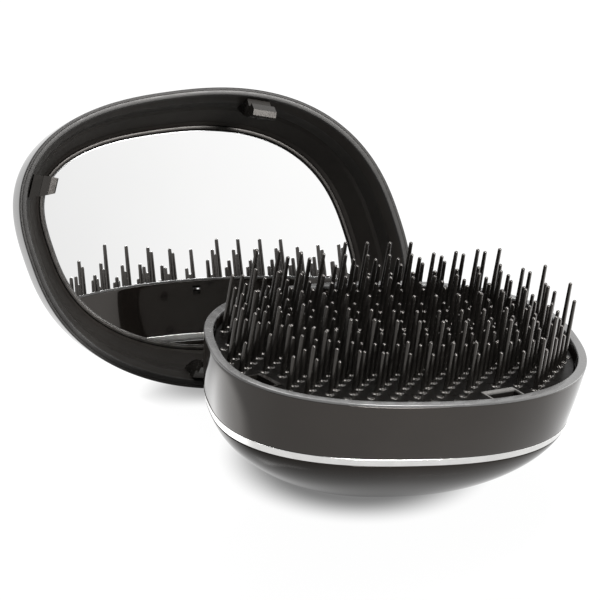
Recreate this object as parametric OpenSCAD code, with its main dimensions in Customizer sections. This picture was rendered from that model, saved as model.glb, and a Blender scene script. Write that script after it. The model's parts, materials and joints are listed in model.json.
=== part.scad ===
// Compact detangling brush with a clip-on lid that holds a vanity mirror.
// The brush half rests on a small flat under its dome, its right end a little lower.
// The lid stands behind it with its opening towards the front, leaning back.
// Both halves share one skewed egg outline; the lid closes over the bristles by
// turning half a turn about its long axis.

/* [Outline] */
// Half length of the egg outline along the rows, in mm
rim_half_length = 43.9; // [30:0.1:70]
// Half width of the egg outline across the rows, in mm
rim_half_width = 34; // [20:0.1:60]
// Roundness of the long ends (1 is an ellipse, lower is squarer)
end_power = 0.83; // [0.6:0.01:1]
// Roundness of the sides (1 is an ellipse, lower is squarer)
side_power = 0.80; // [0.6:0.01:1]
// How much the outline leans along the rows per mm across them
outline_skew = 0.228; // [0:0.001:0.4]
// How much wider the right end is than the left
egg_taper = 0.03; // [0:0.005:0.2]
// Turn of the outline against the bristle rows, in degrees
outline_turn = 1.7; // [-10:0.1:10]

/* [Brush casing] */
// Depth of the silver trim ring below the rim, in mm
trim_depth = 13; // [8:0.1:20]
// Height of the silver trim ring, in mm
trim_height = 1.7; // [0.5:0.1:4]
// Height of the dome below the trim ring, in mm
dome_height = 17.6; // [8:0.1:30]
// Fullness of the dome's section
dome_power = 1.4; // [1:0.05:4]
// Wall thickness of the casing, in mm
casing_wall = 1.8; // [1:0.1:3]
// Width of the flat lip round the top, in mm
lip_width = 2; // [1:0.1:4]
// Height of the lip's own ring, in mm
lip_height = 0.6; // [0.4:0.1:3]
// Tilt of the brush half to the right, in degrees
brush_tilt = 9.25; // [0:0.05:20]
// Height of the rim's centre above the floor, in mm
rim_centre_height = 29.87; // [20:0.01:50]

/* [Bristle pad] */
// Top of the pad below the rim, in mm
pad_depth = 2; // [0.5:0.1:5]
// Thickness of the pad, in mm
pad_thickness = 2; // [1:0.1:4]
// Distance between bristles in one row, in mm
bristle_pitch = 5.3; // [3:0.05:9]
// Distance between rows, in mm
row_pitch = 2.5; // [2:0.05:6]
// Shift of each row along its length, in mm
row_shift = 2.3; // [0:0.05:5]
// Number of bristle rows
row_count = 23; // [5:1:40]
// Diameter of a bristle at its root, in mm
bristle_root = 1.15; // [0.8:0.05:2.5]
// Diameter of a bristle below its tip, in mm
bristle_tip = 0.85; // [0.5:0.05:2]
// Height of the long bristles above the rim in the middle of the pad, in mm
long_bristle = 9.7; // [6:0.1:20]
// Height of the middle bristles above the rim in the middle of the pad, in mm
middle_bristle = 5.8; // [4:0.1:20]
// Height of the short bristles above the rim in the middle of the pad, in mm
short_bristle = 2.8; // [1:0.1:20]
// How much the tips rise towards the ends and sides (1 as built, 0 level)
tip_dish = 1; // [0:0.05:1.5]

/* [Clip fit] */
// Width of a lid hook, in mm
hook_width = 5.4; // [2:0.1:8]
// Length of a hook beyond the lid's rim, in mm
hook_reach = 5.2; // [3:0.1:14]
// Thickness of a hook, in mm
hook_thickness = 2.3; // [0.8:0.1:4]
// Side of the square window in the back of the band, in mm
window_side = 2.2; // [1:0.1:5]

/* [Lid] */
// Total depth of the lid, in mm
lid_depth = 21; // [16:0.1:30]
// Depth of the lid's wall before the dome starts, in mm
lid_wall_depth = 8; // [4:0.1:16]
// Fullness of the lid's dome
lid_power = 2.5; // [1.2:0.05:4]
// Depth of the mirror below the lid's rim, in mm
mirror_depth = 12.8; // [6:0.1:16]
// Distance of the mirror's edge from the rim's edge, in mm
mirror_inset = 9; // [5:0.1:15]
// Thickness of the mirror, in mm
mirror_thickness = 1; // [0.8:0.1:3]
// Backward lean of the lid, in degrees
lid_lean = 21; // [5:0.5:40]

/* [Hidden] */
step_count = 72;
turn = 360 / step_count;
floor_drop = 2;
world_shift = [9.208, -24.865, 0];
lid_centre = [-17.9, 59.2, 34.8 - floor_drop];
front_angle = 294.1;
back_angle = 105.6;
left_angle = 206.6;
pad_inset = 2.5;
slot_half = 3.2;
slot_in = 9.2;
// the front slot is wider than its hook and reaches further to the right
front_slot_half = 4.4;
front_slot_mid = 1.6;
catch_gap = 0;
// thickness of the dome at its pole, before the foot is cut flat
sole_thickness = 4;
frame_top = pad_depth + pad_thickness;
frame_bottom = frame_top + 2;
trim_in = 0.09 * trim_depth + 0.0045 * trim_depth * trim_depth;
dome_top = trim_depth + trim_height;
dome_in = trim_in + 0.5;
// where the screws stand, and how deep the boss under each one reaches
screw_spots = [[21, 10, 26.9], [-17, 11, 25.6], [-22, -10, 26.4], [17, -11, 25.8]];
peg_spots = [[31, -2], [0, 20], [-31, 1], [-4, -20]];
lid_screw_spots = [[14, 8], [-13, 9], [-14, -8], [13, -9]];
glass_back = mirror_depth + mirror_thickness;
tape_thickness = 0.2;
floor_front = glass_back + tape_thickness;
floor_thickness = 0.7;

function sign1(v) = v < 0 ? -1 : 1;
function pw(v, e) = sign1(v) * pow(abs(v), e);
// one point of the shared egg outline
function rim_at(t) =
  let (x0 = rim_half_length * pw(cos(t), end_power),
       y0 = rim_half_width * pw(sin(t), side_power) * (1 + egg_taper * x0 / rim_half_length),
       x1 = x0 + outline_skew * y0)
  [x1 * cos(outline_turn) - y0 * sin(outline_turn), x1 * sin(outline_turn) + y0 * cos(outline_turn)];
function rim_out(t) =
  let (d = rim_at(t + 0.5) - rim_at(t - 0.5)) [d[1], -d[0]] / norm(d);
function rim_in(t, inset) = rim_at(t) - inset * rim_out(t);
function loop_pts(inset, s = 1) = [for (i = [0 : step_count - 1]) s * rim_in((i + 0.5) * turn, inset)];
function at_z(loop, z) = [for (p = loop) [p[0], p[1], z]];
// inset of the band's outside at a depth below the rim
function band_in(d) = 0.09 * d + 0.0045 * d * d;
// inset of the lid's outside at a depth below its rim
function lid_in(d) = 0.09 * d + 0.003 * d * d;
function dome_scale(u, n) = sqrt(max(0, 1 - pow(u, n)));
function inside_rim(p, inset) =
  len([for (i = [0 : step_count - 1])
    let (a = rim_in((i + 0.5) * turn, inset), b = rim_in((i + 1.5) * turn, inset), e = b - a, q = p - a)
    if (e[0] * q[1] - e[1] * q[0] < 0) 1]) == 0;

// skin between loops: a tube when closed, capped at both ends when not
module skin(rings, closed) {
  m = len(rings);
  n = step_count;
  pts = [for (r = rings) each r];
  side = [for (j = [0 : (closed ? m - 1 : m - 2)]) for (i = [0 : n - 1])
    let (a = j * n + i, b = j * n + (i + 1) % n, k = (j + 1) % m, c = k * n + (i + 1) % n, d = k * n + i)
    each [[a, c, b], [a, d, c]]];
  caps = closed ? [] : [[for (i = [0 : n - 1]) i], [for (i = [n - 1 : -1 : 0]) (m - 1) * n + i]];
  polyhedron(points = pts, faces = concat(side, caps), convexity = 8);
}

// a ring swept round the outline; the section lists [inset, depth], outside first, going down
module ring(section) {
  skin([for (s = section) at_z(loop_pts(s[0]), -s[1])], true);
}

// a slab following the outline
module slab(inset, top, thick) {
  translate([0, 0, -top - thick]) linear_extrude(height = thick) polygon(loop_pts(inset));
}

// frame of reference on the rim: x points out of the outline, y runs along it
module on_rim(t) {
  o = rim_out(t);
  translate([rim_at(t)[0], rim_at(t)[1], 0]) rotate([0, 0, atan2(o[1], o[0])]) children();
}

function slot_w(t) = t == front_angle ? front_slot_half : slot_half;
function slot_mid(t) = t == front_angle ? front_slot_mid : 0;
// the openings for the hooks, as seen from above, at the three clip places
module slot_cut(depth_from, depth_to) {
  for (t = [front_angle, back_angle, left_angle])
    on_rim(t) translate([-slot_in, slot_mid(t) - slot_w(t), -depth_to]) cube([slot_in + 1, 2 * slot_w(t), depth_to - depth_from]);
}

module place_brush() {
  translate(world_shift) translate([0, 0, rim_centre_height]) rotate([0, brush_tilt, 0]) children();
}

module place_lid() {
  translate(world_shift) translate(lid_centre) rotate([90 - lid_lean, 0, 0]) mirror([0, 1, 0]) children();
}

// everything below the floor, used to cut the two feet flat
module under_floor() {
  translate(world_shift + [-60, -60, -20]) cube([120, 160, 20]);
}

module rim_bezel() {
  color([0.45, 0.45, 0.44]) place_brush()
    ring([[0.25, 0], [0.03, 0.2], [band_in(lip_height), lip_height], [lip_width, lip_height], [lip_width, 0.15], [lip_width - 0.15, 0]]);
}

module side_band() {
  color([0.25, 0.24, 0.23]) place_brush() difference() {
    ring([[band_in(lip_height), lip_height], [band_in(4), 4], [band_in(7), 7], [band_in(10), 10], [trim_in, trim_depth],
      [trim_in + casing_wall, trim_depth], [trim_in + casing_wall + 0.2, frame_bottom], [lip_width, frame_bottom], [lip_width, lip_height]]);
    on_rim(back_angle) translate([-4, -window_side / 2, -1.8 - window_side]) cube([6, window_side, window_side]);
    for (t = [front_angle, back_angle, left_angle])
      on_rim(t) translate([-6, -slot_half, -hook_reach - 1.6]) cube([3.2, 2 * slot_half, hook_reach]);
  }
}

module trim_ring() {
  color([0.8, 0.8, 0.79]) place_brush()
    ring([[trim_in - 0.12, trim_depth], [trim_in - 0.05, trim_depth + 0.5], [dome_in - 0.12, dome_top],
      [dome_in + casing_wall, dome_top], [trim_in + casing_wall, trim_depth]]);
}

module bottom_shell() {
  out_u = [0.999, 0.995, 0.98, 0.95, 0.9, 0.83, 0.74, 0.64, 0.53, 0.42, 0.31, 0.2, 0.1, 0.03];
  in_u = [0.1, 0.25, 0.42, 0.6, 0.76, 0.88, 0.96, 0.99];
  color([0.22, 0.21, 0.2]) difference() {
    place_brush() difference() {
      union() {
        skin(concat(
          [for (u = out_u) at_z(loop_pts(dome_in, dome_scale(u, dome_power)), -dome_top - dome_height * u)],
          [at_z(loop_pts(dome_in), -dome_top), at_z(loop_pts(dome_in + casing_wall), -dome_top)],
          [for (u = in_u) at_z(loop_pts(dome_in + casing_wall, dome_scale(u, dome_power)), -dome_top - (dome_height - sole_thickness) * u)]), false);
        for (p = screw_spots) translate([p[0], p[1], -p[2]]) cylinder(h = p[2] - frame_bottom, r = 3, $fn = 48);
      }
      for (p = screw_spots) translate([p[0], p[1], -frame_bottom - 12]) cylinder(h = 12.5, r = 1.25, $fn = 48);
    }
    under_floor();
  }
}

// where the bristles stand, and how high they reach above the rim: four kinds of row in turn,
// tips rising towards the ends and sides, lower next to the left end and in the front left corner
function row_height(j) = [middle_bristle, short_bristle, long_bristle, short_bristle + 1.1][j % 4];
function tip_rise(p) = tip_dish * (0.0019 * pow(p[0] - 3.3, 2) + (p[1] > 2.2 ? 0.0045 : 0.0054) * pow(p[1] - 2.2, 2));
function tip_height(p, j) =
  min(row_height(j) + tip_rise(p), 12.7 - 0.25 * max(0, -28 - p[0])) - (p[0] + 2.2 * (p[1] + 23) < -13 ? 2.6 : 0);
function near_slot(p) =
  len([for (t = [front_angle, back_angle, left_angle])
    let (d = p - rim_at(t), o = rim_out(t), u = -d[0] * o[0] - d[1] * o[1], v = -d[0] * o[1] + d[1] * o[0])
    if (u < slot_in + 0.7 && abs(v - slot_mid(t)) < slot_w(t) + 0.7) 1]) > 0;
function site_at(i, j) = [1.34 + row_shift * j + bristle_pitch * i, -22.9 + row_pitch * j + 0.1 * i - (j == 22 ? 1 : 0)];
// the last row is short and stands close to the rim; two places next to the rim stay empty
function has_bristle(i, j, p) =
  j == 22 ? (i >= -11 && i <= -7) : inside_rim(p, 3.6) && !(j == 10 && i == -12) && !(j == 18 && i == -1);
sites = [for (j = [0 : row_count - 1]) for (i = [-15 : 12])
  let (p = site_at(i, j))
  if (has_bristle(i, j, p) && !near_slot(p)) [p[0], p[1], j == 22 ? 10.8 : tip_height(p, j)]];

module bristle(h) {
  r1 = bristle_root / 2;
  r2 = bristle_tip / 2;
  rotate_extrude($fn = 32) polygon([[0, -pad_depth - 0.8], [r1, -pad_depth - 0.8], [r2, h - r2], [0.72 * r2, h - 0.3 * r2], [0, h]]);
}

module bristle_pad() {
  color([0.06, 0.06, 0.06]) place_brush() union() {
    difference() {
      slab(pad_inset, pad_depth, pad_thickness);
      slot_cut(pad_depth - 1, pad_depth + pad_thickness + 1);
    }
    for (p = peg_spots) translate([p[0], p[1], -frame_bottom - 0.6]) cylinder(h = frame_bottom + 0.6 - pad_depth - 1, r = 1.5, $fn = 48);
    for (s = sites) translate([s[0], s[1], 0]) bristle(s[2]);
  }
}

module core_frame() {
  color([0.12, 0.12, 0.12]) place_brush() difference() {
    slab(pad_inset - 0.2, frame_top, frame_bottom - frame_top);
    slot_cut(frame_top - 1, frame_bottom + 1);
    for (p = screw_spots) translate([p[0], p[1], -frame_bottom - 1]) {
      cylinder(h = 4, r = 1.25, $fn = 48);
      translate([0, 0, 1.8]) cylinder(h = 2, r = 2.6, $fn = 48);
    }
    for (p = peg_spots) translate([p[0], p[1], -frame_bottom - 1]) cylinder(h = 4, r = 1.5, $fn = 48);
    translate([-13, -8, -frame_bottom - 1]) cube([26, 16, 4]);
  }
}

module core_screws() {
  color([0.6, 0.6, 0.6]) place_brush() for (p = screw_spots) translate([p[0], p[1], 0]) difference() {
    union() {
      translate([0, 0, -frame_bottom - 9]) cylinder(h = 10.2, r = 1.25, $fn = 48);
      translate([0, 0, -frame_bottom + 0.8]) cylinder(h = 1.1, r = 2.5, $fn = 48);
    }
    translate([-1.6, -0.3, -frame_bottom + 1.4]) cube([3.2, 0.6, 2]);
    translate([-0.3, -1.6, -frame_bottom + 1.4]) cube([0.6, 3.2, 2]);
  }
}

// a socket let into the pad behind the rim: a bar at the inner end, thin side cheeks, an upper wall
// behind the lip and a lower ledge
module catch_socket(t) {
  half = slot_w(t) - catch_gap;
  place_brush() on_rim(t) translate([0, slot_mid(t), 0]) difference() {
    union() {
      translate([-slot_in + catch_gap, -half, -frame_bottom - 5])
        cube([slot_in - catch_gap - lip_width - 2.2, 2 * half, frame_bottom + 5 - pad_depth + 0.15]);
      translate([-slot_in + catch_gap, -half, -frame_bottom])
        cube([slot_in - catch_gap - lip_width - 0.4, 2 * half, frame_bottom - pad_depth]);
    }
    translate([-slot_in + catch_gap + 1.2, -half + 0.35, -frame_bottom - 3.8])
      cube([slot_in - catch_gap - lip_width - 2, 2 * half - 0.7, 20]);
  }
}

module front_catch() {
  color([0.2, 0.2, 0.2]) catch_socket(front_angle);
}

module back_catch() {
  color([0.2, 0.2, 0.2]) catch_socket(back_angle);
}

module left_catch() {
  color([0.2, 0.2, 0.2]) catch_socket(left_angle);
}

// the lid's outer form, filled
module lid_solid() {
  dome_h = lid_depth - lid_wall_depth;
  place_lid() skin(concat(
    [for (u = [0.87, 0.69, 0.46, 0.22]) let (d = lid_wall_depth + dome_h * u) at_z(loop_pts(lid_in(d), dome_scale(u, lid_power)), -d)],
    [for (d = [lid_wall_depth, 4, 0.35]) at_z(loop_pts(lid_in(d)), -d)], [at_z(loop_pts(0.2), 0)]), false);
}

module lid_shell() {
  dome_h = lid_depth - lid_wall_depth;
  thick = 1.5;
  out_u = [0.998, 0.99, 0.97, 0.93, 0.87, 0.79, 0.69, 0.58, 0.46, 0.34, 0.22, 0.1];
  in_u = [0.12, 0.3, 0.48, 0.64, 0.78, 0.88, 0.95, 0.99];
  rim = 0.7;
  color([0.2, 0.19, 0.18]) difference() {
    place_lid() difference() {
      union() {
        skin(concat(
          [for (u = out_u) let (d = lid_wall_depth + dome_h * u) at_z(loop_pts(lid_in(d), dome_scale(u, lid_power)), -d)],
          [for (d = [lid_wall_depth, 4, 0.35]) at_z(loop_pts(lid_in(d)), -d)],
          [at_z(loop_pts(0.2), 0), at_z(loop_pts(rim), 0), at_z(loop_pts(rim), -1.2), at_z(loop_pts(thick + 0.1), -1.2)],
          [for (d = [4, lid_wall_depth]) at_z(loop_pts(lid_in(d) + thick), -d)],
          [for (u = in_u) let (d = lid_wall_depth + (dome_h - thick) * u) at_z(loop_pts(lid_in(d) + thick, dome_scale(u, lid_power)), -d)]), false);
        for (p = lid_screw_spots) translate([p[0], p[1], -lid_depth + 1.9]) cylinder(h = lid_depth - 1.9 - floor_front - floor_thickness - 0.8, r = 2.6, $fn = 48);
      }
      for (p = lid_screw_spots) translate([p[0], p[1], -lid_depth + 2.7]) cylinder(h = 8, r = 0.9, $fn = 48);
    }
    under_floor();
  }
  // the foot closes the wall where it is cut flat
  color([0.2, 0.19, 0.18]) intersection() {
    lid_solid();
    translate(world_shift + [-60, 20, 0]) cube([120, 60, 0.8]);
  }
}

module lid_liner() {
  color([0.16, 0.16, 0.16]) place_lid() difference() {
    union() {
      skin(concat(
        [at_z(loop_pts(mirror_inset + 0.95), -floor_front - floor_thickness), at_z(loop_pts(mirror_inset - 1.25), -floor_front + 0.1), at_z(loop_pts(mirror_inset - 1.7), -floor_front + 0.9)],
        [at_z(loop_pts(5.4), -10.6), at_z(loop_pts(3.4), -7), at_z(loop_pts(2.5), -2), at_z(loop_pts(2.3), -1.2), at_z(loop_pts(0.72), -1.2), at_z(loop_pts(0.72), -0.15), at_z(loop_pts(0.85), 0)],
        [at_z(loop_pts(2.2), 0), at_z(loop_pts(2.35), -0.15), at_z(loop_pts(3.5), -2.5), at_z(loop_pts(4.2), -6.6), at_z(loop_pts(4.8), -7.4), at_z(loop_pts(7.2), -11.4),
          at_z(loop_pts(mirror_inset - 0.75), -12.6), at_z(loop_pts(mirror_inset - 0.65), -floor_front)],
        [at_z(loop_pts(mirror_inset + 0.95), -floor_front)]), false);
      for (p = lid_screw_spots) translate([p[0], p[1], -floor_front - floor_thickness - 0.8]) cylinder(h = 1, r = 3.4, $fn = 48);
    }
    for (p = lid_screw_spots) translate([p[0], p[1], -floor_front - 5]) {
      cylinder(h = 8, r = 0.9, $fn = 48);
      translate([0, 0, 4.1]) cylinder(h = 3, r = 2, $fn = 48);
    }
  }
}

module mirror_frame() {
  color([0.1, 0.1, 0.1]) place_lid()
    ring([[mirror_inset - 0.55, mirror_depth - 0.25], [mirror_inset - 0.6, mirror_depth], [mirror_inset - 0.6, floor_front], [mirror_inset, floor_front],
      [mirror_inset, mirror_depth], [mirror_inset + 0.1, mirror_depth], [mirror_inset + 0.05, mirror_depth - 0.2]]);
}

module mirror_glass() {
  color([0.9, 0.92, 0.93]) place_lid() slab(mirror_inset, mirror_depth, mirror_thickness);
}

module mirror_tape() {
  color([0.7, 0.7, 0.68]) place_lid() difference() {
    slab(mirror_inset + 1.5, glass_back, tape_thickness);
    for (p = lid_screw_spots) translate([p[0], p[1], -floor_front - 1]) cylinder(h = 3, r = 2.4, $fn = 48);
  }
}

module liner_screws() {
  color([0.6, 0.6, 0.6]) place_lid() for (p = lid_screw_spots) translate([p[0], p[1], -floor_front]) difference() {
    union() {
      translate([0, 0, -3.8]) cylinder(h = 3.1, r = 0.9, $fn = 48);
      translate([0, 0, -0.9]) cylinder(h = 0.9, r = 1.9, $fn = 48);
    }
    translate([-1.2, -0.25, -0.5]) cube([2.4, 0.5, 2]);
  }
}

// a clip hook: a thick finger that leans inwards out of the liner, with a barb near its end;
// seen from the lid's opening it narrows from its root to its tip
module hook(t, tip_half, tip_shift) {
  place_lid() on_rim(t) intersection() {
    translate([0, 4, 0]) rotate([90, 0, 0]) linear_extrude(height = 8)
      polygon([[-4.6, -6], [-3.3, -6], [-2.5, -1.4], [-2.3, -0.1], [-4, 1.6], [-4, hook_reach - 2.6], [-3.5, hook_reach - 2.2], [-3.5, hook_reach - 1.9],
        [-4.8, hook_reach], [-4.2 - hook_thickness + 0.4, hook_reach], [-4.2 - hook_thickness, hook_reach - 0.5], [-4.2 - hook_thickness, 1.4],
        [-4.2 - hook_thickness + 0.4, -1.2], [-5.2, -4]]);
    translate([0, 0, -8]) linear_extrude(height = 20)
      polygon([[0, -hook_width / 2], [-2, -hook_width / 2], [-8, tip_shift - tip_half], [-8, tip_shift + tip_half], [-2, hook_width / 2], [0, hook_width / 2]]);
  }
}

module front_hook() {
  color([0.1, 0.1, 0.1]) hook(front_angle, hook_width / 2, 0);
}

module back_hook() {
  color([0.1, 0.1, 0.1]) hook(back_angle, hook_width / 2, 0);
}

module left_hook() {
  color([0.1, 0.1, 0.1]) hook(left_angle, 1.3, 1.5);
}

rim_bezel();
side_band();
trim_ring();
bottom_shell();
bristle_pad();
core_frame();
core_screws();
front_catch();
back_catch();
left_catch();
lid_shell();
lid_liner();
mirror_frame();
mirror_glass();
mirror_tape();
liner_screws();
front_hook();
back_hook();
left_hook();
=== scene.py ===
"""Looks for the compact detangling brush and its mirror lid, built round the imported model."""

import json
import math
import random

import bmesh
import bpy
import numpy as np
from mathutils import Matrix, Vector

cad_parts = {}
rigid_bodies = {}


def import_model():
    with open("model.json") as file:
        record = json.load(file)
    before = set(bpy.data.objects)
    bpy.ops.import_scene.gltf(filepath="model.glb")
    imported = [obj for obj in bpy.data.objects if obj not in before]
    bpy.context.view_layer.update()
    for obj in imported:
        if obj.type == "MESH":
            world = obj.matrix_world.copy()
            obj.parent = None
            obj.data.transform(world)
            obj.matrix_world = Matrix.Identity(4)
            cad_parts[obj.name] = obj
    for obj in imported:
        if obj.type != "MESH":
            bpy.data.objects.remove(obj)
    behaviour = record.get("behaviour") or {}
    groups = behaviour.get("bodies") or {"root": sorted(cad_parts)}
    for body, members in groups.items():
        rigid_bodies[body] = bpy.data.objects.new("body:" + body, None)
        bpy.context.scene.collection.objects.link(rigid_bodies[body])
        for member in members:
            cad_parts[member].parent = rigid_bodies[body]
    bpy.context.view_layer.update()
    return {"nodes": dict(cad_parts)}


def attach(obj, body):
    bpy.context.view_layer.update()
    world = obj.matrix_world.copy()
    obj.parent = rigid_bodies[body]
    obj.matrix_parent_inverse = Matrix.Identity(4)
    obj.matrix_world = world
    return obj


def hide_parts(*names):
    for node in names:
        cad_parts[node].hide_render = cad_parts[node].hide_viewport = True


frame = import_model()
nodes = frame["nodes"]
rng = random.Random(7)

# ---------------------------------------------------------------- shared shape, in mm
SHIFT = np.array([9.208, -24.865, 0.0])
HALF_L, HALF_W, END_P, SIDE_P = 43.9, 34.0, 0.83, 0.80
SKEW, TAPER, TURN = 0.228, 0.03, math.radians(1.7)
RIM_Z = 29.87
TILT = math.radians(9.25)
LID_AT = np.array([-17.9, 59.2, 32.8])
LEAN = math.radians(21.0)
TRIM_D, TRIM_H, DOME_H, DOME_P = 13.0, 1.7, 17.6, 1.4
WALL, LIP_W, LIP_H, SOLE = 1.8, 2.0, 0.6, 4.0
PAD_D, PAD_T = 2.0, 2.0
LID_D, LID_WALL, LID_P = 21.0, 8.0, 2.5
MIR_D, MIR_IN, MIR_T = 12.8, 9.0, 1.0
FRONT, BACK, LEFT = 294.1, 105.6, 206.6
SLOT_HALF, SLOT_IN = 3.2, 9.2
FRONT_HALF, FRONT_MID = 4.4, 1.6
N = 288


def spow(v, e):
    return np.sign(v) * np.abs(v) ** e


def rim_at(t):
    t = np.radians(t)
    x0 = HALF_L * spow(np.cos(t), END_P)
    y0 = HALF_W * spow(np.sin(t), SIDE_P) * (1 + TAPER * x0 / HALF_L)
    x1 = x0 + SKEW * y0
    return np.stack([x1 * math.cos(TURN) - y0 * math.sin(TURN), x1 * math.sin(TURN) + y0 * math.cos(TURN)], -1)


def rim_out(t):
    d = rim_at(t + 0.5) - rim_at(t - 0.5)
    n = np.stack([d[..., 1], -d[..., 0]], -1)
    return n / np.linalg.norm(n, axis=-1, keepdims=True)


_tf = np.linspace(0, 360, 7201)
_pf = rim_at(_tf)
_sf = np.concatenate([[0], np.cumsum(np.linalg.norm(np.diff(_pf, axis=0), axis=1))])
T_EVEN = np.interp(np.linspace(0, _sf[-1], N, endpoint=False), _sf, _tf)


def loop(inset, depth, scale=1.0, t=T_EVEN):
    p = scale * (rim_at(t) - inset * rim_out(t))
    return np.concatenate([p, np.full((len(p), 1), -depth)], 1)


def band_in(d):
    return 0.09 * d + 0.0045 * d * d


def lid_in(d):
    return 0.09 * d + 0.003 * d * d


TRIM_IN = band_in(TRIM_D)
DOME_TOP = TRIM_D + TRIM_H
DOME_IN = TRIM_IN + 0.5


def to_brush(p):
    c, s = math.cos(TILT), math.sin(TILT)
    x, y, z = p[..., 0], p[..., 1], p[..., 2]
    q = np.stack([x * c + z * s, y, -x * s + z * c + RIM_Z], -1)
    return (q + SHIFT) * 0.001


def to_lid(p):
    a = math.pi / 2 - LEAN
    c, s = math.cos(a), math.sin(a)
    x, y, z = p[..., 0], -p[..., 1], p[..., 2]
    q = np.stack([x, y * c - z * s, y * s + z * c], -1)
    return (q + LID_AT + SHIFT) * 0.001


def on_rim(t, u, v, z):
    """u inwards from the rim, v along it, z up out of the bristles."""
    o = rim_out(np.array(t))
    p = rim_at(np.array(t)) - u * o + v * np.array([-o[1], o[0]])
    return np.array([p[0], p[1], z])


def fillet(pts, seg=4, closed=True):
    """Rounds the corners of a section. Each point is (inset, depth, radius)."""
    out = []
    n = len(pts)
    for i, (x, y, r) in enumerate(pts):
        if r <= 0 or (not closed and i in (0, n - 1)):
            out.append((x, y))
            continue
        p = np.array([x, y])
        a = np.array(pts[i - 1][:2]) - p
        b = np.array(pts[(i + 1) % n][:2]) - p
        la, lb = np.linalg.norm(a), np.linalg.norm(b)
        a, b = a / la, b / lb
        ang = math.acos(max(-1, min(1, float(a @ b))))
        d = min(r / math.tan(ang / 2), 0.48 * la, 0.48 * lb)
        rr = d * math.tan(ang / 2)
        mid = (a + b) / np.linalg.norm(a + b)
        c = p + mid * (rr / math.sin(ang / 2))
        p0, p1 = p + a * d, p + b * d
        a0 = math.atan2(*(p0 - c)[::-1])
        a1 = math.atan2(*(p1 - c)[::-1])
        da = (a1 - a0 + math.pi) % (2 * math.pi) - math.pi
        out += [tuple(c + rr * np.array([math.cos(a0 + da * k / seg), math.sin(a0 + da * k / seg)])) for k in range(seg + 1)]
    return out


def make(name, verts, faces, mat, body, sharp=38, stands_for=()):
    me = bpy.data.meshes.new(name)
    me.from_pydata([tuple(v) for v in verts], [], faces)
    bm = bmesh.new()
    bm.from_mesh(me)
    bmesh.ops.recalc_face_normals(bm, faces=bm.faces)
    bm.to_mesh(me)
    bm.free()
    me.validate()
    me.polygons.foreach_set("use_smooth", [True] * len(me.polygons))
    me.set_sharp_from_angle(angle=math.radians(sharp))
    ob = bpy.data.objects.new(name, me)
    bpy.context.scene.collection.objects.link(ob)
    me.materials.append(mat)
    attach(ob, body)
    if stands_for:
        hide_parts(*stands_for)
    return ob


def grid_faces(m, n, wrap_m, base=0):
    f = []
    for j in range(m if wrap_m else m - 1):
        k = (j + 1) % m
        for i in range(n):
            i2 = (i + 1) % n
            f.append((base + j * n + i, base + j * n + i2, base + k * n + i2, base + k * n + i))
    return f


def ring_piece(name, section, place, mat, body, stands_for, sharp=38):
    rings = np.concatenate([loop(x, y) for x, y in section])
    return make(name, place(rings), grid_faces(len(section), N, True), mat, body, sharp, stands_for)


def cup_piece(name, loops, place, mat, body, stands_for, sharp=38, floor=None):
    """loops: rings from the outer pole over the rim to the inner pole, closed by a fan at both ends."""
    pts = place(np.concatenate(loops))
    if floor is not None:
        pts[:, 2] = np.maximum(pts[:, 2], floor)
    m = len(loops)
    f = grid_faces(m, N, False)
    a, b = len(pts), len(pts) + 1
    pts = np.concatenate([pts, [pts[:N].mean(0)], [pts[(m - 1) * N:].mean(0)]])
    f += [(a, (i + 1) % N, i) for i in range(N)]
    f += [(b, (m - 1) * N + i, (m - 1) * N + (i + 1) % N) for i in range(N)]
    return make(name, pts, f, mat, body, sharp, stands_for)


# ---------------------------------------------------------------- materials
def material(name):
    m = bpy.data.materials.new(name)
    m.use_nodes = True
    nt = m.node_tree
    return m, nt, nt.nodes["Principled BSDF"]


def obj_noise(nt, scale, detail=3.0, rough=0.55):
    tc = nt.nodes.new("ShaderNodeTexCoord")
    no = nt.nodes.new("ShaderNodeTexNoise")
    no.inputs["Scale"].default_value = scale
    no.inputs["Detail"].default_value = detail
    no.inputs["Roughness"].default_value = rough
    nt.links.new(tc.outputs["Object"], no.inputs["Vector"])
    return no


def ramp(nt, src, a, b, lo=0.35, hi=0.65):
    r = nt.nodes.new("ShaderNodeMapRange")
    r.inputs["From Min"].default_value = lo
    r.inputs["From Max"].default_value = hi
    r.inputs["To Min"].default_value = a
    r.inputs["To Max"].default_value = b
    nt.links.new(src, r.inputs["Value"])
    return r.outputs["Result"]


def mix_color(nt, fac, a, b):
    mx = nt.nodes.new("ShaderNodeMix")
    mx.data_type = "RGBA"
    mx.inputs["A"].default_value = (*a, 1)
    mx.inputs["B"].default_value = (*b, 1)
    nt.links.new(fac, mx.inputs["Factor"])
    return mx.outputs["Result"]


def bump(nt, height, strength, distance):
    b = nt.nodes.new("ShaderNodeBump")
    b.inputs["Strength"].default_value = strength
    b.inputs["Distance"].default_value = distance
    nt.links.new(height, b.inputs["Height"])
    return b.outputs["Normal"]


def plastic(name, a, b, r0, r1, noise=60, ior=1.5, bump_scale=None, bump_strength=0.1, bump_dist=0.00005, coat=0.0):
    """Moulded plastic: the colour drifts a little, the gloss is uneven, and a fine grain where asked."""
    m, nt, p = material(name)
    n1 = obj_noise(nt, noise)
    nt.links.new(mix_color(nt, ramp(nt, n1.outputs["Fac"], 0, 1), a, b), p.inputs["Base Color"])
    n2 = obj_noise(nt, noise * 7, 4.0, 0.6)
    nt.links.new(ramp(nt, n2.outputs["Fac"], r0, r1), p.inputs["Roughness"])
    p.inputs["IOR"].default_value = ior
    p.inputs["Coat Weight"].default_value = coat
    p.inputs["Coat Roughness"].default_value = 0.04
    if bump_scale:
        n3 = obj_noise(nt, bump_scale, 2.0, 0.5)
        nt.links.new(bump(nt, n3.outputs["Fac"], bump_strength, bump_dist), p.inputs["Normal"])
    return m


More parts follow.
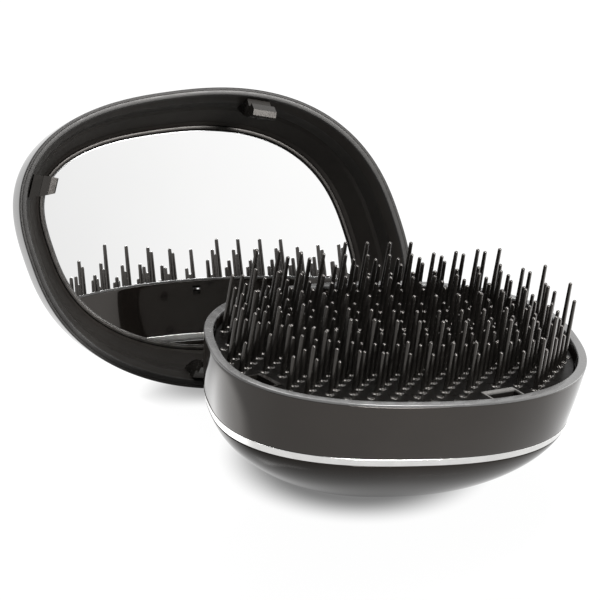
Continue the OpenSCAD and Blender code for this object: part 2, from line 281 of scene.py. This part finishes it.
def tune(m, level=None, tint=(1.0, 0.94, 0.885)):
    """Sets how much and how warmly a plastic reflects."""
    p = m.node_tree.nodes["Principled BSDF"]
    if level is not None:
        p.inputs["Specular IOR Level"].default_value = level
    p.inputs["Specular Tint"].default_value = (*tint, 1)
    return m


M_BAND = tune(plastic("band_gloss_plastic", (0.0052, 0.0043, 0.0037), (0.0066, 0.0055, 0.0047), 0.04, 0.07), 0.5)
M_SHELL = tune(plastic("shell_gloss_plastic", (0.0060, 0.0050, 0.0043), (0.0080, 0.0066, 0.0057), 0.04, 0.07), 0.14)
M_LID = tune(plastic("lid_gloss_plastic", (0.0085, 0.0075, 0.0068), (0.0105, 0.0093, 0.0085), 0.05, 0.08), 0.5, (1.0, 0.97, 0.94))
M_LIP = tune(plastic("lip_satin_plastic", (0.046, 0.0455, 0.045), (0.058, 0.0575, 0.057), 0.20, 0.28, bump_scale=4000, bump_strength=0.05), 0.5, (1.0, 0.99, 0.98))
M_PAD = tune(plastic("pad_black_plastic", (0.0011, 0.0010, 0.0009), (0.0020, 0.0018, 0.0016), 0.26, 0.36, bump_scale=2500, bump_strength=0.04), 0.05)
M_BRISTLE = tune(plastic("bristle_nylon", (0.0020, 0.0018, 0.0016), (0.0036, 0.0032, 0.0028), 0.17, 0.25), 0.65)
M_LINER = tune(plastic("liner_textured_plastic", (0.0044, 0.0038, 0.0033), (0.0070, 0.0060, 0.0052), 0.34, 0.42, bump_scale=2600, bump_strength=0.3, bump_dist=0.00006), 0.2)
M_FLANGE = tune(plastic("flange_satin_plastic", (0.010, 0.0096, 0.0092), (0.013, 0.0126, 0.012), 0.27, 0.35, bump_scale=3000, bump_strength=0.1), 0.13, (1.0, 0.98, 0.96))
M_HOOK = tune(plastic("hook_black_plastic", (0.0035, 0.0031, 0.0027), (0.006, 0.0053, 0.0047), 0.22, 0.32), 0.3)
M_CATCH = tune(plastic("catch_satin_plastic", (0.035, 0.034, 0.033), (0.045, 0.044, 0.043), 0.25, 0.35), 0.5)
nt = M_CATCH.node_tree
tc = nt.nodes.new("ShaderNodeTexCoord")
up = nt.nodes.new("ShaderNodeVectorMath")
up.operation = "DOT_PRODUCT"
up.inputs[1].default_value = (math.sin(TILT), 0.0, math.cos(TILT))
nt.links.new(tc.outputs["Object"], up.inputs[0])
top_z = (math.sin(TILT) * SHIFT[0] + math.cos(TILT) * RIM_Z - PAD_D) * 0.001
face = ramp(nt, up.outputs["Value"], 0.0, 1.0, top_z - 0.00035, top_z - 0.00005)
nt.links.new(mix_color(nt, face, (0.0030, 0.0027, 0.0024), (0.075, 0.073, 0.070)), nt.nodes["Principled BSDF"].inputs["Base Color"])
M_CATCH_BLACK = tune(plastic("catch_black_plastic", (0.0035, 0.0031, 0.0027), (0.006, 0.0053, 0.0047), 0.2, 0.3), 0.5)
M_FRAME = tune(plastic("mirror_lip_plastic", (0.0040, 0.0036, 0.0032), (0.006, 0.0055, 0.005), 0.25, 0.35), 0.15)
M_CORE = plastic("core_plastic", (0.006, 0.006, 0.006), (0.01, 0.01, 0.01), 0.4, 0.5)
M_TAPE = plastic("foam_tape", (0.62, 0.62, 0.6), (0.7, 0.7, 0.68), 0.7, 0.8, bump_scale=1500, bump_strength=0.4, bump_dist=0.0001)


def metal(name, a, b, r0, r1, noise=300):
    m, nt, p = material(name)
    p.inputs["Metallic"].default_value = 1.0
    n1 = obj_noise(nt, noise)
    nt.links.new(mix_color(nt, ramp(nt, n1.outputs["Fac"], 0, 1), a, b), p.inputs["Base Color"])
    n2 = obj_noise(nt, noise * 5)
    nt.links.new(ramp(nt, n2.outputs["Fac"], r0, r1), p.inputs["Roughness"])
    return m


M_TRIM = metal("trim_satin_silver", (0.63, 0.625, 0.615), (0.67, 0.665, 0.655), 0.16, 0.22)
M_SCREW = metal("screw_steel", (0.5, 0.5, 0.5), (0.6, 0.6, 0.6), 0.25, 0.35)
M_MIRROR = metal("mirror_silvered", (0.925, 0.925, 0.922), (0.935, 0.935, 0.932), 0.003, 0.008, noise=40)

# ---------------------------------------------------------------- brush casing
ring_piece("lip_ring", fillet([(0.02, 0.0, 0.24), (band_in(LIP_H), LIP_H, 0.1), (LIP_W, LIP_H, 0.05), (LIP_W, 0.0, 0.25)], seg=5),
           to_brush, M_LIP, "brush", ["rim_bezel"])

# the band, with a small square clip window through its back wall
band_sec = [(band_in(d), d, 0) for d in (LIP_H, 1.2, 1.8, 2.6, 3.3, 4.0, 5.2, 6.4, 7.6, 8.8, 10.0, 11.2, 12.4)]
band_sec = fillet([(band_in(LIP_H), LIP_H, 0.1)] + band_sec[1:] + [(TRIM_IN, TRIM_D, 0.12), (TRIM_IN + WALL, TRIM_D, 0), (TRIM_IN + WALL + 0.2, 6.0, 0),
                   (LIP_W, 6.0, 0), (LIP_W, 4.0, 0), (LIP_W, 1.8, 0), (LIP_W, LIP_H, 0)])
sec = np.array(band_sec)
o_back = rim_out(np.array(BACK))
c_back = rim_at(np.array(BACK))
along = (rim_at(T_EVEN) - c_back) @ np.array([-o_back[1], o_back[0]])
near = ((rim_at(T_EVEN) - c_back) @ o_back) > -4
cols = [i for i in range(N) if near[i] and abs(along[i]) < 1.35]
i0, i1 = min(cols), max(cols)
rows_out = [j for j in range(len(sec)) if sec[j][0] < 1.5 and 1.75 < sec[j][1] < 4.05]
rows_in = [j for j in range(len(sec)) if abs(sec[j][0] - LIP_W) < 1e-6 and 1.75 < sec[j][1] < 4.05]
faces = grid_faces(len(sec), N, True)
jo0, jo1 = min(rows_out), max(rows_out)
ji0, ji1 = min(rows_in), max(rows_in)
cut = {(j, i) for j in range(jo0, jo1) for i in range(i0, i1)} | {(j, i) for j in range(ji0, ji1) for i in range(i0, i1)}
faces = [f for k, f in enumerate(faces) if (k // N, k % N) not in cut]
idx = lambda j, i: j * N + i % N
outer_edge = [idx(jo0, i) for i in range(i0, i1 + 1)] + [idx(j, i1) for j in range(jo0 + 1, jo1 + 1)] \
    + [idx(jo1, i) for i in range(i1 - 1, i0 - 1, -1)] + [idx(j, i0) for j in range(jo1 - 1, jo0, -1)]
# the inside has fewer rows: walk it in the same sense and stretch the joining faces over them
inner_top = [idx(ji1, i) for i in range(i0, i1 + 1)]
inner_bot = [idx(ji0, i) for i in range(i1, i0 - 1, -1)]
for i in range(i0, i1):
    faces.append((idx(jo0, i), idx(jo0, i + 1), idx(ji1, i + 1), idx(ji1, i)))
    faces.append((idx(jo1, i + 1), idx(jo1, i), idx(ji0, i), idx(ji0, i + 1)))
faces.append(tuple([idx(j, i1) for j in range(jo0, jo1 + 1)] + [idx(j, i1) for j in range(ji0, ji1 + 1)]))
faces.append(tuple([idx(j, i0) for j in range(jo0, jo1 + 1)] + [idx(j, i0) for j in range(ji0, ji1 + 1)]))
make("band_shell", to_brush(np.concatenate([loop(x, y) for x, y in band_sec])), faces, M_BAND, "brush", 38, ["side_band"])

ring_piece("trim_line", fillet([(TRIM_IN - 0.12, TRIM_D + 0.02, 0.08), (DOME_IN - 0.12, DOME_TOP - 0.02, 0.08), (DOME_IN + WALL, DOME_TOP, 0), (TRIM_IN + WALL, TRIM_D, 0)]),
           to_brush, M_TRIM, "brush", ["trim_ring"])

ss = list(np.sin(np.linspace(0.02, math.pi / 2, 46)))
outer = [loop(DOME_IN, DOME_TOP + DOME_H * (1 - s * s) ** (1 / DOME_P), s) for s in ss[:-1]]
lip = [loop(DOME_IN + 0.0, DOME_TOP + 0.35), loop(DOME_IN + 0.05, DOME_TOP + 0.1), loop(DOME_IN + 0.16, DOME_TOP)]
si = list(np.sin(np.linspace(math.pi / 2, 0.05, 24)))
inner = [loop(DOME_IN + WALL, DOME_TOP + (DOME_H - SOLE) * max(0.0, 1 - s * s) ** (1 / DOME_P), s) for s in si]
cup_piece("palm_shell", outer + lip + inner, to_brush, M_SHELL, "brush", ["bottom_shell"], floor=0.0)

# ---------------------------------------------------------------- pad and bristles
pad_in = 2.5
pl = []
slots = sorted([(FRONT, 0), (BACK, 1), (LEFT, 2)])
tl = [float(t) for t in T_EVEN]


def slot_sides(t):
    return (FRONT_MID - FRONT_HALF, FRONT_MID + FRONT_HALF) if t == FRONT else (-SLOT_HALF, SLOT_HALF)


def in_slot(p, grow=0.0):
    for t, _ in slots:
        o = rim_out(np.array(t))
        d = np.array(p[:2]) - rim_at(np.array(t))
        u, v = -(d @ o), d @ np.array([-o[1], o[0]])
        lo, hi = slot_sides(t)
        if u < SLOT_IN + grow and lo - grow < v < hi + grow:
            return t
    return None


edge = rim_at(T_EVEN) - pad_in * rim_out(T_EVEN)
i = 0
inside = [in_slot(p) for p in edge]
start = next(k for k in range(N) if inside[k] is None and inside[k - 1] is None)
k = 0
while k < N:
    j = (start + k) % N
    s = inside[j]
    if s is None:
        pl.append(edge[j])
        k += 1
        continue
    o = rim_out(np.array(s))
    base_u = float(-((edge[j] - rim_at(np.array(s))) @ o))
    lo, hi = slot_sides(s)
    pl += [on_rim(s, base_u, lo, 0)[:2], on_rim(s, SLOT_IN, lo, 0)[:2], on_rim(s, SLOT_IN, hi, 0)[:2]]
    while inside[(start + k) % N] is not None and k < N:
        k += 1
    base_u = float(-((edge[(start + k - 1) % N] - rim_at(np.array(s))) @ o))
    pl.append(on_rim(s, base_u, hi, 0)[:2])
pl = np.array(pl)
n = len(pl)
b = 0.18
mid = np.roll(pl, -1, 0) - np.roll(pl, 1, 0)
nrm = np.stack([-mid[:, 1], mid[:, 0]], 1)
nrm /= np.linalg.norm(nrm, axis=1)[:, None]
small = pl + nrm * b
v = np.concatenate([np.c_[small, np.full(n, -PAD_D)], np.c_[pl, np.full(n, -PAD_D - b)], np.c_[pl, np.full(n, -PAD_D - PAD_T)]])
f = [tuple(range(n)), tuple(range(3 * n - 1, 2 * n - 1, -1))]
f += [(i, (i + 1) % n, n + (i + 1) % n, n + i) for i in range(n)] + [(n + i, n + (i + 1) % n, 2 * n + (i + 1) % n, 2 * n + i) for i in range(n)]
pad = make("pad_plate", to_brush(v), f, M_PAD, "brush", 30)

rim_loop = rim_at(np.linspace(0, 360, 720, endpoint=False)) - 3.6 * rim_out(np.linspace(0, 360, 720, endpoint=False))


def inside_poly(p, poly):
    x, y = p
    a, b2 = poly, np.roll(poly, -1, 0)
    c = ((a[:, 1] > y) != (b2[:, 1] > y)) & (x < (b2[:, 0] - a[:, 0]) * (y - a[:, 1]) / (b2[:, 1] - a[:, 1] + 1e-12) + a[:, 0])
    return bool(c.sum() % 2)


def tip_height(x, y, j):
    h = (5.8, 2.8, 9.7, 3.9)[j % 4] + 0.0019 * (x - 3.3) ** 2 + (0.0045 if y > 2.2 else 0.0054) * (y - 2.2) ** 2
    return min(h, 12.7 - 0.25 * max(0, -28 - x)) - (2.6 if x + 2.2 * (y + 23) < -13 else 0)


def has_bristle(i, j, p):
    if j == 22:
        return -11 <= i <= -7
    return inside_poly(p, rim_loop) and (i, j) not in ((-12, 10), (-1, 18))


sites = []
for j in range(23):
    for i in range(-15, 13):
        p = (1.34 + 2.3 * j + 5.3 * i, -22.9 + 2.5 * j + 0.1 * i - (1 if j == 22 else 0))
        if has_bristle(i, j, p) and in_slot(p, 0.7) is None:
            sites.append((p[0], p[1], 10.8 if j == 22 else tip_height(p[0], p[1], j)))

SIDES = 16
V, F = [], []
ang = np.linspace(0, 2 * math.pi, SIDES, endpoint=False)
for x, y, h in sites:
    r1, r2 = 0.575, 0.425
    z0 = -PAD_D
    prof = [(1.05, z0 - 0.12), (1.04, z0 + 0.02), (1.00, z0 + 0.06), (0.72, z0 + 0.08), (0.62, z0 + 0.18), (r1, z0 + 0.5)]
    top = h - r2
    for q in (0.25, 0.5, 0.75, 1.0):
        prof.append((r1 + (r2 - r1) * q, z0 + 0.5 + (top - z0 - 0.5) * q))
    for a in (18, 36, 54, 72):
        prof.append((r2 * math.cos(math.radians(a)), top + r2 * math.sin(math.radians(a))))
    lx, ly = rng.gauss(0, 0.0035), rng.gauss(0, 0.0035)
    base = len(V)
    for r, z in prof:
        k = max(0.0, z - z0)
        V += [(x + lx * k + r * math.cos(a), y + ly * k + r * math.sin(a), z) for a in ang]
    m = len(prof)
    V.append((x + lx * (h - z0), y + ly * (h - z0), h))
    V.append((x, y, z0 - 0.15))
    F += grid_faces(m, SIDES, False, base)
    F += [(base + (m - 1) * SIDES + i, base + (m - 1) * SIDES + (i + 1) % SIDES, base + m * SIDES) for i in range(SIDES)]
    F += [(base + (i + 1) % SIDES, base + i, base + m * SIDES + 1) for i in range(SIDES)]
# low collars at the lattice places next to the rim that carry no bristle
collar_loop = rim_at(np.linspace(0, 360, 720, endpoint=False)) - 3.3 * rim_out(np.linspace(0, 360, 720, endpoint=False))
taken = {(round(a, 2), round(b2, 2)) for a, b2, _ in sites}
for j in range(-2, 22):
    for i in range(-16, 15):
        x, y = 1.34 + 2.3 * j + 5.3 * i, -22.9 + 2.5 * j + 0.1 * i
        if (round(x, 2), round(y, 2)) in taken or not inside_poly((x, y), collar_loop) or in_slot((x, y), 0.9) is not None:
            continue
        base = len(V)
        for r, z in [(0.92, -PAD_D - 0.12), (0.90, -PAD_D + 0.02), (0.84, -PAD_D + 0.1), (0.62, -PAD_D + 0.16), (0.3, -PAD_D + 0.18)]:
            V += [(x + r * math.cos(a), y + r * math.sin(a), z) for a in ang]
        V.append((x, y, -PAD_D + 0.185))
        V.append((x, y, -PAD_D - 0.12))
        F += grid_faces(5, SIDES, False, base)
        F += [(base + 4 * SIDES + i2, base + 4 * SIDES + (i2 + 1) % SIDES, base + 5 * SIDES) for i2 in range(SIDES)]
        F += [(base + (i2 + 1) % SIDES, base + i2, base + 5 * SIDES + 1) for i2 in range(SIDES)]
bristles = make("bristles", to_brush(np.array(V)), F, M_BRISTLE, "brush", 60)
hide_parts("bristle_pad")

# ---------------------------------------------------------------- lid
ls = list(np.sin(np.linspace(0.02, math.pi / 2, 50)))
LH = LID_D - LID_WALL


def lid_dome(s, off=0.0, h=LH):
    u = max(0.0, 1 - s * s) ** (1 / LID_P)
    d = LID_WALL + h * u
    return loop(lid_in(d) + off, d, s)


outer = [lid_dome(s) for s in ls[:-1]] + [loop(lid_in(d), d) for d in (8.0, 7.0, 6.0, 5.0, 4.0, 3.0, 2.0, 1.0, 0.4)]
lip = [loop(0.06, 0.12), loop(0.2, 0.0), loop(0.6, 0.0), loop(0.7, 0.1), loop(0.7, 1.2), loop(1.6, 1.2)]
inner = [loop(lid_in(d) + 1.5, d) for d in (2.0, 4.0, 6.0, 8.0)] + [lid_dome(s, 1.5, LH - 1.5) for s in np.sin(np.linspace(math.pi / 2 - 0.05, 0.05, 24))]
dome = cup_piece("lid_dome", outer + lip + inner, to_lid, M_LID, "lid", ["lid_shell"], floor=0.0)
dome.data.materials.append(M_FLANGE)
first, last = (len(outer) - 1) * N, (len(outer) + 2) * N
dome.data.polygons.foreach_set("material_index", [1 if first <= k < last else 0 for k in range(len(dome.data.polygons))])

sec = fillet([(0.80, 0.42, 0.05), (0.78, 1.2, 0), (2.3, 1.2, 0), (2.5, 2.0, 0), (3.4, 7.0, 0), (5.4, 10.6, 0), (7.3, 13.1, 0), (7.75, 13.9, 0), (9.95, 14.7, 0),
              (9.95, 14.0, 0), (8.35, 14.0, 0), (8.25, 12.7, 0.1), (7.5, 12.0, 0.6), (4.9, 7.5, 0.8), (4.2, 6.6, 0.6), (3.2, 2.6, 1.2), (1.95, 0.42, 0.1)], seg=5)
# the tray's floor closes the ring under the mirror
sec = [tuple(p) for p in sec]
k_in = next(i for i, p in enumerate(sec) if abs(p[0] - 9.95) < 1e-6 and abs(p[1] - 14.7) < 1e-6)
order = sec[k_in + 1:] + sec[:k_in + 1]
ring_piece("lid_flange", fillet([(0.70, 0.015, 0.03), (1.7, 0.0, 0.25), (2.0, 0.5, 0.05), (0.76, 0.5, 0)], seg=5), to_lid, M_FLANGE, "lid", [])
cup_piece("lid_tray", [loop(x, y) for x, y in order], to_lid, M_LINER, "lid", ["lid_liner"], sharp=32)

ring_piece("mirror_lip", fillet([(MIR_IN - 0.6, 14.0, 0), (MIR_IN - 0.65, MIR_D - 0.2, 0.12), (MIR_IN + 0.1, MIR_D - 0.2, 0.08), (MIR_IN + 0.1, MIR_D + 0.28, 0), (MIR_IN, MIR_D + 0.3, 0),
                                 (MIR_IN, 14.0, 0)]), to_lid, M_FRAME, "lid", ["mirror_frame"])

# the pane with its narrow ground bevel
e = [loop(MIR_IN + 0.0, MIR_D + MIR_T), loop(MIR_IN, MIR_D + 0.3), loop(MIR_IN + 0.55, MIR_D)]
pts = to_lid(np.concatenate(e))
f = grid_faces(3, N, False) + [tuple(range(N)), tuple(range(2 * N, 3 * N))]
pane = make("mirror_pane", pts, f, M_MIRROR, "lid", 12, ["mirror_glass"])
pane.visible_diffuse = False
pane.visible_glossy = False

# ---------------------------------------------------------------- carried-over nodes
for name, mat in (("core_frame", M_CORE), ("core_screws", M_SCREW), ("liner_screws", M_SCREW), ("mirror_tape", M_TAPE),
                  ("front_catch", M_CATCH), ("back_catch", M_CATCH_BLACK), ("left_catch", M_CATCH_BLACK),
                  ("front_hook", M_HOOK), ("back_hook", M_HOOK), ("left_hook", M_HOOK)):
    ob = nodes[name]
    ob.data.materials.clear()
    ob.data.materials.append(mat)
    if "hook" in name or "catch" in name:
        bv = ob.modifiers.new("edges", "BEVEL")
        bv.width = 0.0002
        bv.segments = 3
        bv.limit_method = "ANGLE"
        bv.angle_limit = math.radians(40)

# ---------------------------------------------------------------- floor, light, camera
# the floor: evenly bright emission, with painted shade under the brush and lid and painted glow patches at fixed places
fl, nt, p = material("floor_painted_shade_and_glow")
nt.nodes.remove(p)
tc = nt.nodes.new("ShaderNodeTexCoord")


def blob(centre, radii, near, far, low, high=1.0):
    """A soft painted patch in the floor's emission, used both for painted shade and for painted glow: low inside, high
    outside.
    """
    mp = nt.nodes.new("ShaderNodeMapping")
    mp.vector_type = "TEXTURE"
    mp.inputs["Location"].default_value = (*centre, 0)
    mp.inputs["Scale"].default_value = (*radii, 1)
    nt.links.new(tc.outputs["Object"], mp.inputs["Vector"])
    ln = nt.nodes.new("ShaderNodeVectorMath")
    ln.operation = "LENGTH"
    nt.links.new(mp.outputs["Vector"], ln.inputs[0])
    mr = nt.nodes.new("ShaderNodeMapRange")
    mr.interpolation_type = "SMOOTHSTEP"
    mr.inputs["From Min"].default_value = near
    mr.inputs["From Max"].default_value = far
    mr.inputs["To Min"].default_value = low
    mr.inputs["To Max"].default_value = high
    nt.links.new(ln.outputs["Value"], mr.inputs["Value"])
    return mr.outputs["Result"]


def times(a, b, operation="MULTIPLY"):
    mu = nt.nodes.new("ShaderNodeMath")
    mu.operation = operation
    nt.links.new(a, mu.inputs[0])
    nt.links.new(b, mu.inputs[1])
    return mu.outputs[0]


def plus(a, b):
    return times(a, b, "ADD")


# painted shade: the emission drops under the brush and under the lid's edge, standing in for their contact shadows
painted_shade_and_glow = times(blob((0.003, -0.0172), (0.0185, 0.020), 1.0, 1.65, 0.2), blob((-0.002, 0.030), (0.024, 0.011), 0.6, 1.3, 0.4))
# painted glow: brighter emission patches left of the brush and near its right end, so the band's sides reflect them
painted_shade_and_glow = plus(plus(painted_shade_and_glow, blob((-0.068, 0.006), (0.034, 0.040), 0.7, 1.3, 1.3, 0.0)), blob((0.068, -0.030), (0.016, 0.024), 0.6, 1.4, 0.2, 0.0))
# a strong painted glow further right, reflected in the band's right flank
painted_shade_and_glow = plus(painted_shade_and_glow, blob((0.128, -0.052), (0.050, 0.060), 0.8, 1.08, 3.0, 0.0))
em = nt.nodes.new("ShaderNodeEmission")
em.inputs["Color"].default_value = (1.1, 1.1, 1.1, 1)
nt.links.new(painted_shade_and_glow, em.inputs["Strength"])
gl = nt.nodes.new("ShaderNodeBsdfGlossy")
gl.inputs["Roughness"].default_value = 0.2
m2 = nt.nodes.new("ShaderNodeMixShader")
m2.inputs[0].default_value = 0.10
nt.links.new(em.outputs[0], m2.inputs[1])
nt.links.new(gl.outputs[0], m2.inputs[2])
nt.links.new(m2.outputs[0], nt.nodes["Material Output"].inputs["Surface"])
me = bpy.data.meshes.new("floor")
me.from_pydata([(-3, -3, 0), (3, -3, 0), (3, 3, 0), (-3, 3, 0)], [], [(0, 1, 2, 3)])
floor = bpy.data.objects.new("floor", me)
me.materials.append(fl)
bpy.context.scene.collection.objects.link(floor)

world = bpy.data.worlds.new("studio")
bpy.context.scene.world = world
world.use_nodes = True
wt = world.node_tree
bg = wt.nodes["Background"]
bg.inputs["Color"].default_value = (1, 1, 1, 1)
wc = wt.nodes.new("ShaderNodeTexCoord")


def card(direction, inner, outer, strength):
    """A soft round card of light in the studio, seen in this direction; angles in degrees."""
    d = Vector(direction).normalized()
    dt = wt.nodes.new("ShaderNodeVectorMath")
    dt.operation = "DOT_PRODUCT"
    dt.inputs[1].default_value = d
    wt.links.new(wc.outputs["Generated"], dt.inputs[0])
    mr = wt.nodes.new("ShaderNodeMapRange")
    mr.interpolation_type = "SMOOTHSTEP"
    mr.inputs["From Min"].default_value = math.cos(math.radians(outer))
    mr.inputs["From Max"].default_value = math.cos(math.radians(inner))
    mr.inputs["To Min"].default_value = 0.0
    mr.inputs["To Max"].default_value = strength
    wt.links.new(dt.outputs["Value"], mr.inputs["Value"])
    return mr.outputs["Result"]


total = None
for c in (card((0.533, -0.791, 0.30), 5, 26, 0.82), card((0.1, 0.8, 0.6), 30, 60, 0.9), card((-0.9, 0.2, 0.25), 20, 45, 1.2), card((0.9, 0.1, 0.3), 20, 45, 0.9)):
    ad = wt.nodes.new("ShaderNodeMath")
    ad.operation = "ADD"
    wt.links.new(c, ad.inputs[0])
    if total is None:
        ad.inputs[1].default_value = 0.3
    else:
        wt.links.new(total, ad.inputs[1])
    total = ad.outputs[0]
wt.links.new(total, bg.inputs["Strength"])


def area(name, loc, target, size, power, size_y=None):
    li = bpy.data.lights.new(name, "AREA")
    li.energy = power
    li.size = size
    if size_y:
        li.shape = "RECTANGLE"
        li.size_y = size_y
    ob = bpy.data.objects.new(name, li)
    ob.location = loc
    ob.rotation_euler = (Vector(target) - Vector(loc)).to_track_quat("-Z", "Y").to_euler()
    bpy.context.scene.collection.objects.link(ob)
    return ob


top_box = area("top_box", (-0.02, 0.16, 0.7), (0, 0, 0.02), 0.4, 9)
key_box = area("key_box", (0.36, -0.74, 0.62), (-0.01, 0.02, 0.03), 0.42, 32, 0.30)

# the key lights the object only, so that the floor doesn't throw it back as a patch on the band
lit = bpy.data.collections.new("lit_by_key")
for ob in bpy.context.scene.objects:
    if ob.type == "MESH" and ob is not floor:
        lit.objects.link(ob)
key_box.light_linking.receiver_collection = lit

cam = bpy.data.cameras.new("photo_camera")
cam.sensor_width = 36
cam.lens = 234.9
cam.clip_start = 0.01
cam.clip_end = 20
co = bpy.data.objects.new("photo_camera", cam)
eye = Vector((-0.29327, -0.71843, 0.37369))
aim = Vector((-0.00993, -0.01713, 0.0393))
co.location = eye
co.rotation_euler = (aim - eye).to_track_quat("-Z", "Y").to_euler()
bpy.context.scene.collection.objects.link(co)
bpy.context.scene.camera = co
bpy.context.scene.view_settings.view_transform = "Standard"
